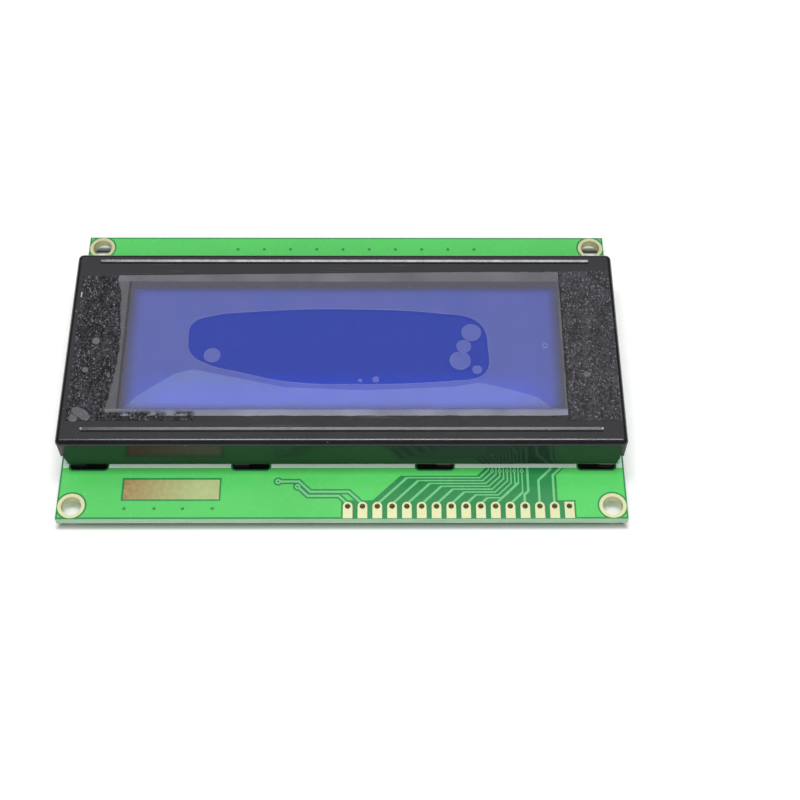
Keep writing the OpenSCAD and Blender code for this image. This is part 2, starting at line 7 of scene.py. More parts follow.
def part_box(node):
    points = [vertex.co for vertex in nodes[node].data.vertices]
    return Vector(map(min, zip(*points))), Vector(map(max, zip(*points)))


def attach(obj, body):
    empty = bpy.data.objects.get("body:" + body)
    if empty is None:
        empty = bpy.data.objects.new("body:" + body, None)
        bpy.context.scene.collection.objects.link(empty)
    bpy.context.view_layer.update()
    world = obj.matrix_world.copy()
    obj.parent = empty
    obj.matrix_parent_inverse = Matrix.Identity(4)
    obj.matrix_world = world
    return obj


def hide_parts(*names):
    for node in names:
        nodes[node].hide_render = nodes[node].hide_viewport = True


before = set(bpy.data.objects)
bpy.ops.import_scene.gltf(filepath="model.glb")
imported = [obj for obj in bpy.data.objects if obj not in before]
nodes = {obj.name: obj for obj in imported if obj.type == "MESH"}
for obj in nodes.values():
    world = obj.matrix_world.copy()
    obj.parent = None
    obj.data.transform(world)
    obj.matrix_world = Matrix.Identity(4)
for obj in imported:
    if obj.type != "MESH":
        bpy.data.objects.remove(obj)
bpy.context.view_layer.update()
mm = 0.001
tinyGap = 0.002 * mm
noiseRange = (0.3, 0.7)                # nearly all of a noise's values

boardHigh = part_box("pcb")[1]
boardTop = boardHigh.z
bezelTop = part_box("bezel")[1].z
print("frame loaded:", len(nodes), "nodes")


# ---- selecting and finishing pieces ----

def selectOnly(obj):
    bpy.ops.object.select_all(action="DESELECT")
    obj.select_set(True)
    bpy.context.view_layer.objects.active = obj


def applyPlace(obj):
    selectOnly(obj)
    bpy.ops.object.transform_apply(location=True, rotation=True, scale=True)


def joinAll(pieces):
    selectOnly(pieces[0])
    for piece in pieces[1:]:
        piece.select_set(True)
    if len(pieces) > 1:
        bpy.ops.object.join()
    return bpy.context.active_object


def dress(obj, name, material):
    # name, finish and body of a piece that the scene adds
    obj.name = name
    obj.data.name = name
    obj.data.materials.clear()
    obj.data.materials.append(material)
    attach(obj, "root")


def paintNode(name, material):
    obj = nodes[name]
    if not obj.material_slots:
        obj.data.materials.append(material)
    for place in obj.material_slots:
        place.material = material


def mergedCopy(nodeName):
    # a node's mesh with its loose triangles joined, so that it can be shaded smooth
    source = nodes[nodeName]
    obj = source.copy()
    obj.data = source.data.copy()
    bpy.context.collection.objects.link(obj)
    obj.parent = None
    selectOnly(obj)
    bpy.ops.object.mode_set(mode="EDIT")
    bpy.ops.mesh.select_all(action="SELECT")
    bpy.ops.mesh.remove_doubles(threshold=tinyGap)
    bpy.ops.mesh.dissolve_limited(angle_limit=math.radians(0.5))
    bpy.ops.object.mode_set(mode="OBJECT")
    return obj


# ---- building materials ----

def newMaterial(name, **settings):
    mat = bpy.data.materials.new(name)
    mat.use_nodes = True
    shader = mat.node_tree.nodes["Principled BSDF"]
    for key, value in settings.items():
        shader.inputs[key].default_value = value
    return mat, mat.node_tree, shader


def addNode(tree, kind, **settings):
    item = tree.nodes.new(kind)
    for key, value in settings.items():
        setattr(item, key, value)
    return item


def objectCoords(tree, scale=(1, 1, 1), turn=(0, 0, 0)):
    coords = addNode(tree, "ShaderNodeTexCoord")
    mapping = addNode(tree, "ShaderNodeMapping")
    mapping.inputs["Scale"].default_value = scale
    mapping.inputs["Rotation"].default_value = turn
    tree.links.new(coords.outputs["Object"], mapping.inputs["Vector"])
    return mapping.outputs["Vector"]


def axes(tree, vector):
    split = addNode(tree, "ShaderNodeSeparateXYZ")
    tree.links.new(vector, split.inputs["Vector"])
    return split.outputs["X"], split.outputs["Y"], split.outputs["Z"]


def feed(tree, value, socket):
    # link another node's output, or set a fixed value
    if isinstance(value, bpy.types.NodeSocket):
        tree.links.new(value, socket)
    else:
        socket.default_value = value


def mathStep(tree, operation, *values):
    item = addNode(tree, "ShaderNodeMath", operation=operation)
    for place, value in enumerate(values):
        feed(tree, value, item.inputs[place])
    return item.outputs[0]


def absolute(tree, value):
    return mathStep(tree, "ABSOLUTE", value)


def mixColours(tree, amount, first, second):
    item = addNode(tree, "ShaderNodeMix", data_type="RGBA")
    for place, value in ((0, amount), (6, first), (7, second)):
        feed(tree, value, item.inputs[place])
    return item.outputs[2]


def mixValues(tree, amount, first, second):
    item = addNode(tree, "ShaderNodeMix", data_type="FLOAT")
    for place, value in ((0, amount), (2, first), (3, second)):
        feed(tree, value, item.inputs[place])
    return item.outputs[0]


def remap(tree, value, low, high, newLow=0.0, newHigh=1.0):
    item = addNode(tree, "ShaderNodeMapRange", clamp=True)
    tree.links.new(value, item.inputs["Value"])
    item.inputs["From Min"].default_value = low
    item.inputs["From Max"].default_value = high
    item.inputs["To Min"].default_value = newLow
    item.inputs["To Max"].default_value = newHigh
    return item.outputs["Result"]


def newGroup(name, inputs, outputs):
    group = bpy.data.node_groups.new(name, "ShaderNodeTree")
    for label, kind, value in inputs:
        place = group.interface.new_socket(name=label, in_out="INPUT", socket_type=kind)
        if value is not None:
            place.default_value = value
    for label, kind in outputs:
        group.interface.new_socket(name=label, in_out="OUTPUT", socket_type=kind)
    return group, group.nodes.new("NodeGroupInput"), group.nodes.new("NodeGroupOutput")


def noiseIn(tree, vector, scale, detail=3.0, rough=0.5):
    item = addNode(tree, "ShaderNodeTexNoise")
    tree.links.new(vector, item.inputs["Vector"])
    feed(tree, scale, item.inputs["Scale"])
    item.inputs["Detail"].default_value = detail
    item.inputs["Roughness"].default_value = rough
    return item.outputs["Fac"]


effectLook = {
    "grainScale": 900.0,
    "fineRatio": 3.1,        # scale of the finer grain over that of the coarse one
    "fineShare": 0.4,
    "speckShare": 0.72,      # cells above this value hold a speck
    "hairStretch": (60, 2600, 60),
    "hairTurn": 0.35,
    "hairThin": (0.66, 0.7),
    "hairPatches": (0.5, 0.62),
}


def makeGrain():
    # fine even grain: a value round 0.5 and a height for bump
    group, inward, outward = newGroup(
        "fineGrain",
        [("Vector", "NodeSocketVector", None),
         ("Scale", "NodeSocketFloat", effectLook["grainScale"])],
        [("Value", "NodeSocketFloat"), ("Height", "NodeSocketFloat")])
    coarse = noiseIn(group, inward.outputs["Vector"], inward.outputs["Scale"], 4.0, 0.6)
    finer = mathStep(group, "MULTIPLY", inward.outputs["Scale"], effectLook["fineRatio"])
    fine = noiseIn(group, inward.outputs["Vector"], finer, 2.0, 0.5)
    group.links.new(coarse, outward.inputs["Value"])
    height = mathStep(group, "MULTIPLY_ADD", fine, effectLook["fineShare"], coarse)
    group.links.new(height, outward.inputs["Height"])
    return group


def makeSpecks():
    # scattered small specks of dust: 1 inside a speck
    group, inward, outward = newGroup(
        "dustSpecks",
        [("Vector", "NodeSocketVector", None), ("Scale", "NodeSocketFloat", 300.0),
         ("Size", "NodeSocketFloat", 0.08)],
        [("Mask", "NodeSocketFloat")])
    cells = addNode(group, "ShaderNodeTexVoronoi")
    group.links.new(inward.outputs["Vector"], cells.inputs["Vector"])
    group.links.new(inward.outputs["Scale"], cells.inputs["Scale"])
    split = addNode(group, "ShaderNodeSeparateColor")
    group.links.new(cells.outputs["Color"], split.inputs["Color"])
    chosen = mathStep(group, "GREATER_THAN", split.outputs["Red"], effectLook["speckShare"])
    reach = mathStep(group, "MULTIPLY", inward.outputs["Size"], split.outputs["Green"])
    inside = mathStep(group, "LESS_THAN", cells.outputs["Distance"], reach)
    group.links.new(mathStep(group, "MULTIPLY", chosen, inside), outward.inputs["Mask"])
    return group


def makeScratches():
    # thin hairlines along one direction, broken by a coarse noise
    group, inward, outward = newGroup(
        "hairScratches",
        [("Vector", "NodeSocketVector", None), ("Amount", "NodeSocketFloat", 0.5)],
        [("Mask", "NodeSocketFloat")])
    stretch = addNode(group, "ShaderNodeMapping")
    stretch.inputs["Scale"].default_value = effectLook["hairStretch"]
    stretch.inputs["Rotation"].default_value = (0, 0, effectLook["hairTurn"])
    group.links.new(inward.outputs["Vector"], stretch.inputs["Vector"])
    lines = noiseIn(group, stretch.outputs["Vector"], 1.0, 1.0, 0.5)
    thin = remap(group, lines, *effectLook["hairThin"])
    patches = noiseIn(group, inward.outputs["Vector"], 90.0, 2.0)
    patches = remap(group, patches, *effectLook["hairPatches"])
    both = mathStep(group, "MULTIPLY", thin, patches)
    mask = mathStep(group, "MULTIPLY", both, inward.outputs["Amount"])
    group.links.new(mask, outward.inputs["Mask"])
    return group


grainGroup = makeGrain()
specksGroup = makeSpecks()
scratchGroup = makeScratches()


def useGroup(tree, group, vector, **values):
    item = addNode(tree, "ShaderNodeGroup", node_tree=group)
    tree.links.new(vector, item.inputs["Vector"])
    for key, value in values.items():
        item.inputs[key].default_value = value
    return item


def addBump(tree, shader, height, strength, distance):
    bump = addNode(tree, "ShaderNodeBump")
    bump.inputs["Strength"].default_value = strength
    bump.inputs["Distance"].default_value = distance
    tree.links.new(height, bump.inputs["Height"])
    tree.links.new(bump.outputs["Normal"], shader.inputs["Normal"])


def onSides(tree):
    # 1 on faces that look sideways, 0 on those that look up or down
    normal = addNode(tree, "ShaderNodeNewGeometry").outputs["Normal"]
    return mathStep(tree, "LESS_THAN", absolute(tree, axes(tree, normal)[2]), 0.5)


def rgb(red, green, blue):
    # a colour as it is seen on a screen, 0 to 255, turned to scene light
    linear = [((c / 255 + 0.055) / 1.055) ** 2.4 if c > 10 else c / 255 / 12.92
              for c in (red, green, blue)]
    return (*linear, 1.0)


def scaled(colour, factor):
    return tuple(min(1.0, c * factor) for c in colour[:3]) + (1.0,)


# ---- bezel: black paint on folded steel ----

bezelLook = {
    "paintDark": rgb(16, 17, 21),
    "paintLight": rgb(25, 26, 31),
    "marks": rgb(78, 78, 80),          # dust and hairlines
    "roughness": 0.165,
    "edgeBevel": 0.04 * mm,
    "sharpAngle": 12,
    "wallFoot": boardTop + 1.2 * mm,
    "cutHeight": 0.16 * mm,            # how far the bare cut edge shows
    "cutEdge": rgb(128, 104, 96),
    "cutAmount": (0.25, 0.8),          # on the left half and on the right half
}


def bezelPaint():
    mat, tree, shader = newMaterial("bezelPaint")
    vector = objectCoords(tree)
    grain = useGroup(tree, grainGroup, vector, Scale=700.0)
    specks = useGroup(tree, specksGroup, vector, Scale=420.0, Size=0.1)
    scratches = useGroup(tree, scratchGroup, vector, Amount=0.5)
    marks = mathStep(tree, "MAXIMUM", specks.outputs["Mask"], scratches.outputs["Mask"])
    cloudy = remap(tree, noiseIn(tree, vector, 55.0, 3.0), 0.35, 0.7)
    base = mixColours(tree, cloudy, bezelLook["paintDark"], bezelLook["paintLight"])
    # a brownish line along the walls' foot, where the sheet is cut, broken into patches and fainter
    # on the left half
    x, _, z = axes(tree, vector)
    cut = mathStep(tree, "COMPARE", z, bezelLook["wallFoot"], bezelLook["cutHeight"])
    patchy = noiseIn(tree, objectCoords(tree, scale=(90, 400, 400)), 1.0, 3.0)
    patchy = remap(tree, patchy, 0.42, 0.55)
    amount = remap(tree, x, -4 * mm, 12 * mm, *bezelLook["cutAmount"])
    cut = mathStep(tree, "MULTIPLY", cut, mathStep(tree, "MULTIPLY", patchy, amount))
    base = mixColours(tree, cut, base, bezelLook["cutEdge"])
    tree.links.new(mixColours(tree, marks, base, bezelLook["marks"]), shader.inputs["Base Color"])
    rough = bezelLook["roughness"]
    tree.links.new(remap(tree, grain.outputs["Value"], *noiseRange, rough - 0.04, rough + 0.08),
                   shader.inputs["Roughness"])
    addBump(tree, shader, grain.outputs["Height"], 0.12, 0.02 * mm)
    return mat


def makeBezel():
    shell = mergedCopy("bezel")
    bevel = shell.modifiers.new("cutEdges", "BEVEL")
    bevel.width = bezelLook["edgeBevel"]
    bevel.segments = 2
    bevel.limit_method = "ANGLE"
    bevel.angle_limit = math.radians(bezelLook["sharpAngle"])
    bevel.use_clamp_overlap = True
    bpy.ops.object.modifier_apply(modifier=bevel.name)
    bpy.ops.object.mode_set(mode="EDIT")
    bpy.ops.mesh.select_all(action="SELECT")
    bpy.ops.mesh.dissolve_degenerate(threshold=tinyGap)
    bpy.ops.object.mode_set(mode="OBJECT")
    bpy.ops.object.shade_smooth_by_angle(angle=math.radians(bezelLook["sharpAngle"]))
    weigh = shell.modifiers.new("flatFaces", "WEIGHTED_NORMAL")
    weigh.keep_sharp = True
    weigh.weight = 100
    bpy.ops.object.modifier_apply(modifier=weigh.name)
    dress(shell, "bezelShell", bezelPaint())
    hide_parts("bezel")


makeBezel()
print("bezel made")


# ---- board, lacquer and copper ----

boardLook = {
    "lacquer": rgb(38, 132, 72),
    "covered": rgb(85, 203, 98),
    "track": rgb(112, 200, 130),
    "lacquerDust": rgb(190, 226, 190),
    "lacquerRough": (0.2, 0.3),
    "edge": rgb(142, 184, 146),
    "edgeDark": rgb(122, 158, 126),
    "edgeDepth": 0.3 * mm,             # further in, the sides are those of holes and slots
    "innerEdgeShade": rgb(58, 56, 40),
    "bareWindow": rgb(170, 188, 128),
    "bareDark": rgb(152, 122, 74),
    "bareFibre": rgb(216, 206, 150),
    "windowLow": (-37.9 * mm, -26.4 * mm),
    "windowHigh": (-21.1 * mm, -22.2 * mm),
    "windowFloor": boardTop - 0.03 * mm,
    "tone": 0.16,
}


def lacquerFinish(name, colour, tone):
    mat, tree, shader = newMaterial(name, **{"Specular IOR Level": 0.4})
    vector = objectCoords(tree)
    grain = useGroup(tree, grainGroup, vector, Scale=520.0)
    clouds = noiseIn(tree, vector, 34.0, 3.0, 0.55)
    toned = mixColours(tree, remap(tree, clouds, *noiseRange),
                       scaled(colour, 1 - tone), scaled(colour, 1 + tone))
    dust = useGroup(tree, specksGroup, vector, Scale=520.0, Size=0.06)
    dusty = mixColours(tree, dust.outputs["Mask"], toned, boardLook["lacquerDust"])
    tree.links.new(dusty, shader.inputs["Base Color"])
    tree.links.new(remap(tree, grain.outputs["Value"], *noiseRange, *boardLook["lacquerRough"]),
                   shader.inputs["Roughness"])
    addBump(tree, shader, grain.outputs["Height"], 0.15, 0.02 * mm)
    return mat, tree, shader, toned, vector


def boardFinish():
    # green lacquer above and below, layered laminate at the outer edges and in the bare window, and
    # painted shade on the sides of holes and slots
    mat, tree, shader, toned, vector = lacquerFinish(
        "boardFinish", boardLook["lacquer"], boardLook["tone"])
    x, y, z = axes(tree, vector)
    low, high = boardLook["windowLow"], boardLook["windowHigh"]
    inX = mathStep(tree, "COMPARE", x, (low[0] + high[0]) / 2, (high[0] - low[0]) / 2)
    inY = mathStep(tree, "COMPARE", y, (low[1] + high[1]) / 2, (high[1] - low[1]) / 2)
    inZ = mathStep(tree, "COMPARE", z, boardLook["windowFloor"], 0.008 * mm)
    window = mathStep(tree, "MULTIPLY", mathStep(tree, "MULTIPLY", inX, inY), inZ)
    fibres = noiseIn(tree, objectCoords(tree, scale=(1500, 1500, 1500)), 1.0, 2.0)
    along = remap(tree, x, low[0], high[0] - 4 * mm)
    bare = mixColours(tree, along, boardLook["bareDark"], boardLook["bareWindow"])
    fibres = remap(tree, fibres, 0.35, 0.65, 0.0, 0.18)
    bare = mixColours(tree, fibres, bare, boardLook["bareFibre"])
    layers = noiseIn(tree, objectCoords(tree, scale=(250, 250, 9000)), 1.0, 2.0)
    layers = remap(tree, layers, 0.35, 0.65)
    edge = mixColours(tree, layers, boardLook["edgeDark"], boardLook["edge"])
    depth = boardLook["edgeDepth"]
    # painted shade: the sides of holes and slots are painted dark brown, as they lie in shade; only
    # the outer edges show the laminate
    outerX = mathStep(tree, "GREATER_THAN", absolute(tree, x), boardHigh.x - depth)
    outerY = mathStep(tree, "GREATER_THAN", absolute(tree, y), boardHigh.y - depth)
    edge = mixColours(tree, mathStep(tree, "MAXIMUM", outerX, outerY), boardLook["innerEdgeShade"], edge)
    colour = mixColours(tree, window, toned, bare)
    tree.links.new(mixColours(tree, onSides(tree), colour, edge), shader.inputs["Base Color"])
    return mat


lacquerOverCopper = lacquerFinish("lacquerOverCopper", boardLook["covered"], 0.07)[0]
lacquerOverTrack = lacquerFinish("lacquerOverTrack", boardLook["track"], 0.07)[0]
paintNode("pcb", boardFinish())
paintNode("front_ground_plane", lacquerOverCopper)
paintNode("back_ground_plane", lacquerOverCopper)
paintNode("front_tracks", lacquerOverTrack)
paintNode("back_tracks", lacquerOverTrack)


def grainyFinish(name, colour, tone, rough, scale, bump, depth, **settings):
    # rough is the lowest and the highest roughness
    mat, tree, shader = newMaterial(name, **settings)
    grain = useGroup(tree, grainGroup, objectCoords(tree), Scale=scale)
    value = grain.outputs["Value"]
    toned = mixColours(tree, remap(tree, value, *noiseRange), scaled(colour, 1 - tone), colour)
    tree.links.new(toned, shader.inputs["Base Color"])
    tree.links.new(remap(tree, value, *noiseRange, *rough), shader.inputs["Roughness"])
    addBump(tree, shader, grain.outputs["Height"], bump, depth)
    return mat


def metalFinish(name, colour, rough, scale=300.0, bump=0.3, metallic=1.0):
    return grainyFinish(name, colour, 0.1, (rough - 0.08, rough + 0.1), scale, bump, 0.05 * mm,
                        Metallic=metallic)


def plainFinish(name, colour, rough, tone=0.06, scale=400.0, bump=0.15, **settings):
    return grainyFinish(name, colour, tone, (rough - 0.05, rough + 0.05), scale, bump, 0.03 * mm,
                        **settings)


platingFinish = metalFinish("palePlating", rgb(206, 207, 162), 0.45, metallic=0.4)
solderFinish = metalFinish("solderFinish", rgb(206, 208, 212), 0.25, scale=250.0, bump=0.5)
epoxyFinish = plainFinish("epoxyFinish", rgb(22, 22, 23), 0.3, tone=0.2, scale=220.0, bump=0.4)
stripFinish = plainFinish("stripRubber", rgb(214, 150, 160), 0.6)

nodeFinishes = {
    "header_pads": platingFinish,
    "mounting_rings": platingFinish,
    "contact_fingers": metalFinish("fingerGold", rgb(222, 186, 110), 0.3),
    "chip_solder": solderFinish,
    "lead_solder": solderFinish,
    "backlight_leads": metalFinish("leadTin", rgb(196, 196, 196), 0.3),
    "bezel_outline_print": plainFinish("printInk", rgb(226, 252, 236), 0.4),
    "controller_drop": epoxyFinish,
    "driver_drops": epoxyFinish,
    "chip_resistors": plainFinish("chipFinish", rgb(30, 30, 32), 0.35),
    "connector_strip_front": stripFinish,
    "connector_strip_rear": stripFinish,
    "backlight_tray": plainFinish("trayWhite", rgb(236, 236, 234), 0.45),
    "reflector_sheet": plainFinish("reflectorWhite", rgb(240, 240, 240), 0.25),
    "light_guide": plainFinish("guideClear", rgb(226, 234, 236), 0.1, Alpha=0.5),
    "diffuser_sheet": plainFinish("diffuserWhite", rgb(240, 240, 243), 0.6),
    "led_board": plainFinish("ledBoardWhite", rgb(230, 230, 222), 0.4),
    "led_chips": plainFinish("ledResin", rgb(226, 214, 120), 0.3),
    "cell_seal": plainFinish("sealGrey", rgb(110, 110, 108), 0.5),
}
for nodeName, finish in nodeFinishes.items():
    paintNode(nodeName, finish)
print("board painted")


# ---- display cell ----

displayLook = {
    # painted light and shade: the blue is painted brighter towards the front and the middle and
    # darker towards the rear and both ends, where the bezel shades the display
    "blue": (0.007, 0.032, 0.33, 1.0),
    "litBlueFront": (0.008, 0.04, 0.55, 1.0),
    "frontFade": (-5 * mm, -10 * mm),      # along Y, to the brighter front
    "sideFade": (37 * mm, 31 * mm),        # the same away from both ends
    "roughness": 0.12,
}


def polarizerFinish():
    mat, tree, shader = newMaterial("polarizerBlue", **{"Roughness": displayLook["roughness"]})
    vector = objectCoords(tree)
    grain = useGroup(tree, grainGroup, vector, Scale=300.0)
    x, y, _ = axes(tree, vector)
    # painted light: brighter blue towards the front and away from both ends
    litToFront = mathStep(tree, "MULTIPLY", remap(tree, y, *displayLook["frontFade"]),
                       remap(tree, absolute(tree, x), *displayLook["sideFade"]))
    tree.links.new(mixColours(tree, litToFront, displayLook["blue"], displayLook["litBlueFront"]),
                   shader.inputs["Base Color"])
    addBump(tree, shader, grain.outputs["Height"], 0.05, 0.01 * mm)
    return mat


bluePolarizer = polarizerFinish()
paintNode("front_polarizer", bluePolarizer)
paintNode("rear_polarizer", bluePolarizer)
cellGlass = plainFinish("cellGlass", rgb(214, 226, 226), 0.06, Alpha=0.4)
paintNode("front_glass", cellGlass)
paintNode("rear_glass", cellGlass)
print("display painted")


# ---- protective film: hazy where it bridges the window, clear where it clings ----

filmLook = {
    "low": bezelTop,
    "high": bezelTop + 0.08 * mm,
    "markTop": bezelTop + 0.1 * mm,
    # outlines and places in millimetres
    "corners": [(-47.35, -15.5), (48.0, -15.5), (48.0, 16.0), (-47.35, 14.8)],
    "windowLow": (-38.4, -13.15),
    "windowHigh": (38.4, 13.5),
    "clingOutline": [(-27.4, 0.9), (-26.8, 4.6), (-24.2, 5.9), (-16.1, 7.0), (3.7, 7.5),
                     (17.5, 6.6), (22.4, 5.7), (24.6, 3.9), (25.5, -1.1), (25.2, -5.4),
                     (23.6, -6.9), (19.1, -7.6), (3.8, -8.3), (-10.0, -7.7), (-18.1, -5.8),
                     (-24.1, -4.0), (-26.8, -1.9)],
    "zoneOutline": [(-37.8, -13.1), (-35.2, -10.4), (-32.5, -8.4), (-29.4, -6.2), (-26.2, -5.2),
                    (-18.4, -7.0), (-10.0, -8.9), (3.8, -9.5), (19.1, -8.8), (23.8, -7.9),
                    (29.6, -9.5), (33.6, -10.9), (36.2, -13.1)],
    "bubbles": [((22.6, 2.5), 1.7), ((21.2, -0.4), 1.25), ((20.5, -3.4), 1.8), ((23.4, -5.3), 0.8),
                ((-23.0, -2.3), 1.4), ((3.0, -7.5), 0.3), ((5.7, -7.3), 0.55)],
    "rim": 0.05,
    "patches": [[(-46.7, -14.9), (-46.5, -14.3), (-45.3, -15.4), (-46.7, -15.45)],
                [(-46.4, -13.6), (-46.1, -13.0), (-44.8, -13.1), (-43.6, -14.0), (-43.4, -15.4),
                 (-44.2, -15.45), (-45.2, -14.7)]],
    "smudges": [((-43.6, 0.7), 0.7), ((-44.9, -5.3), 0.55), ((42.5, -6.2), 0.6)],
    "nick": [(-47.3, 10.1), (-47.1, 10.1), (-47.1, 11.2), (-47.3, 11.2)],
    "trappedRing": ((35.5, -0.3), 0.45),
}


def addRing(points, smooth):
    # one closed outline of a flat curve, in millimetres
    bpy.ops.curve.primitive_bezier_circle_add(radius=mm, location=(0, 0, 0))
    ring = bpy.context.active_object
    spline = ring.data.splines[0]
    spline.bezier_points.add(len(points) - 4)
    for corner, (x, y) in zip(spline.bezier_points, points):
        corner.handle_left_type = corner.handle_right_type = "AUTO" if smooth else "VECTOR"
        corner.co = (x * mm, y * mm, 0)
    spline.resolution_u = 10 if smooth else 1
    return ring


def circlePoints(centre, radius, count=8):
    turns = [math.tau * k / count for k in range(count)]
    return [(centre[0] + radius * math.cos(turn), centre[1] + radius * math.sin(turn))
            for turn in turns]


def flatSheet(outlines, low, high):
    # outline first, then its holes; each is (points, smooth)
    sheet = joinAll([addRing(points, smooth) for points, smooth in outlines])
    sheet.data.dimensions = "2D"
    sheet.data.fill_mode = "BOTH"
    sheet.data.extrude = (high - low) / 2
    bpy.ops.object.convert(target="MESH")
    sheet.location.z = (low + high) / 2
    applyPlace(sheet)
    return sheet


def rimLine(points, radius, height):
    # a fine raised line along a closed outline
    ring = addRing(points, True)
    ring.data.dimensions = "3D"
    ring.data.bevel_depth = radius * mm
    ring.data.bevel_resolution = 2
    selectOnly(ring)
    bpy.ops.object.convert(target="MESH")
    ring = bpy.context.active_object
    bpy.ops.object.shade_smooth()
    ring.location.z = height
    applyPlace(ring)
    return ring


# cover is that of each of the film's two faces
filmFinishes = {
    "filmOverWindow": {"colour": rgb(236, 238, 244), "cover": 0.05, "rough": 0.3, "gloss": 0.3},
    "filmPaleZone": {"colour": rgb(222, 236, 255), "cover": 0.1, "rough": 0.3, "gloss": 0.3},
    "filmClung": {"colour": rgb(60, 80, 190), "cover": 0.03, "rough": 0.1, "gloss": 0.5,
                  "wave": 0.1},
    "filmBubbles": {"colour": rgb(212, 216, 255), "cover": 0.07, "rough": 0.2, "gloss": 0.5},
    # pale rims: a painted highlight along the raised edges of the clung patch and the bubbles
    "filmRimsAndHighlight": {"colour": rgb(190, 198, 240), "cover": 0.13, "rough": 0.2, "gloss": 0.5},
    "filmPatches": {"colour": rgb(168, 168, 176), "cover": 0.22, "rough": 0.4, "gloss": 0.2,
                    "wave": 0.4},
    "filmNick": {"colour": rgb(225, 225, 230), "cover": 0.6, "rough": 0.4, "gloss": 0.3},
}


def filmFinish(name, colour, cover, rough, gloss, wave=0.25):
    mat, tree, shader = newMaterial(name, **{"Base Color": colour, "Roughness": rough,
                                             "Specular IOR Level": gloss})
    vector = objectCoords(tree)
    slow = noiseIn(tree, vector, 60.0, 2.0)
    streaks = noiseIn(tree, objectCoords(tree, scale=(260, 60, 60), turn=(0, 0, 0.5)), 1.0, 3.0)
    tone = mathStep(tree, "MULTIPLY_ADD", streaks, 0.5, mathStep(tree, "MULTIPLY", slow, 0.5))
    tree.links.new(remap(tree, tone, *noiseRange, cover * 0.8, cover * 1.2), shader.inputs["Alpha"])
    addBump(tree, shader, slow, wave, 0.3 * mm)
    return mat, tree, shader, vector


# painted shade: the film over the window is painted grey and denser towards the window's edges,
# where the bezel shades the display, dark grey at the sides and rear and pale grey at the front;
# fades are in millimetres
spanLook = {
    "edgeShade": rgb(96, 93, 104),
    "edgeCover": 0.6,
    "frontShade": rgb(212, 210, 204),
    "frontCover": 0.19,
    "wobble": 0.4,
    "fadePower": 1.6,
    "sideFade": (-0.7, 2.4),
    "rearFade": (0.7, 2.5),
    "frontFade": (-0.3, 1.5),
}


def shadeTowards(tree, colour, cover, plain, shade, deepColour, deepCover):
    # the painted shade turns the film's colour dark as its cover gets dense, so that its brightness
    # stays even
    dense = mathStep(tree, "MULTIPLY_ADD", shade, deepCover, cover)
    kept = remap(tree, mathStep(tree, "DIVIDE", plain, dense), plain / (plain + deepCover), 1.0)
    return mixColours(tree, kept, deepColour, colour), dense


def edgeShade(tree, shader, vector, plain):
    x, y, _ = axes(tree, vector)
    uneven = mathStep(tree, "SUBTRACT", noiseIn(tree, vector, 500.0, 3.0), 0.5)
    low, high = filmLook["windowLow"], filmLook["windowHigh"]

    def fade(distance, reach):
        moved = mathStep(tree, "MULTIPLY_ADD", uneven, spanLook["wobble"] * mm, distance)
        level = remap(tree, moved, reach[0] * mm, reach[1] * mm, 1.0, 0.0)
        return mathStep(tree, "POWER", level, spanLook["fadePower"])

    side = fade(mathStep(tree, "SUBTRACT", high[0] * mm, absolute(tree, x)), spanLook["sideFade"])
    rear = fade(mathStep(tree, "SUBTRACT", high[1] * mm, y), spanLook["rearFade"])
    front = fade(mathStep(tree, "SUBTRACT", y, low[1] * mm), spanLook["frontFade"])
    cover = shader.inputs["Alpha"].links[0].from_socket
    colour = shader.inputs["Base Color"].default_value[:]
    colour, cover = shadeTowards(tree, colour, cover, plain, front,
                                 spanLook["frontShade"], spanLook["frontCover"])
    colour, cover = shadeTowards(tree, colour, cover, plain, mathStep(tree, "MAXIMUM", side, rear),
                                 spanLook["edgeShade"], spanLook["edgeCover"])
    tree.links.new(colour, shader.inputs["Base Color"])
    tree.links.new(cover, shader.inputs["Alpha"])


# film on the bezel: widths in millimetres, start and end of a fade in widths of its band
clungLook = {
    "roughness": 0.5,
    "gloss": 0.12,
    "leastCover": 0.015,
    "leftWidth": 1.1,
    "leftGrowth": 7.3,                 # per metre of the distance from the middle, squared
    "rightWidth": 0.35,
    "rearWidth": 2.3,
    "frontWidth": 1.5,
    "ragged": 1.3,                     # how far the ends of the band are torn
    "wavy": 0.25,                      # the same along its front and rear
    "bandEnd": (0.93, 1.03),
    "leftFlecks": (0.9, 1.2),
    "rightFlecks": (0.9, 2.2),
    "cornerFlecks": (-25 * mm, -26 * mm),
    "fleckDark": rgb(30, 30, 33),
    "fleckGrey": rgb(90, 88, 95),
    "fleckPale": rgb(165, 165, 171),
    "fleckCover": 0.5,
    "paleShare": 0.85,
    "rightPale": rgb(215, 215, 222),
    "rightShare": 0.05,
    "bandGrey": rgb(186, 187, 196),
    "bandBlue": rgb(168, 176, 226),
    "bandCover": (0.2, 0.3),
    "frontCover": (1.1, 1.9),          # times bandCover, from the window to the front
    "sideLevel": 0.68,
    "besideLevel": 0.25,               # right beside the window on the left
}


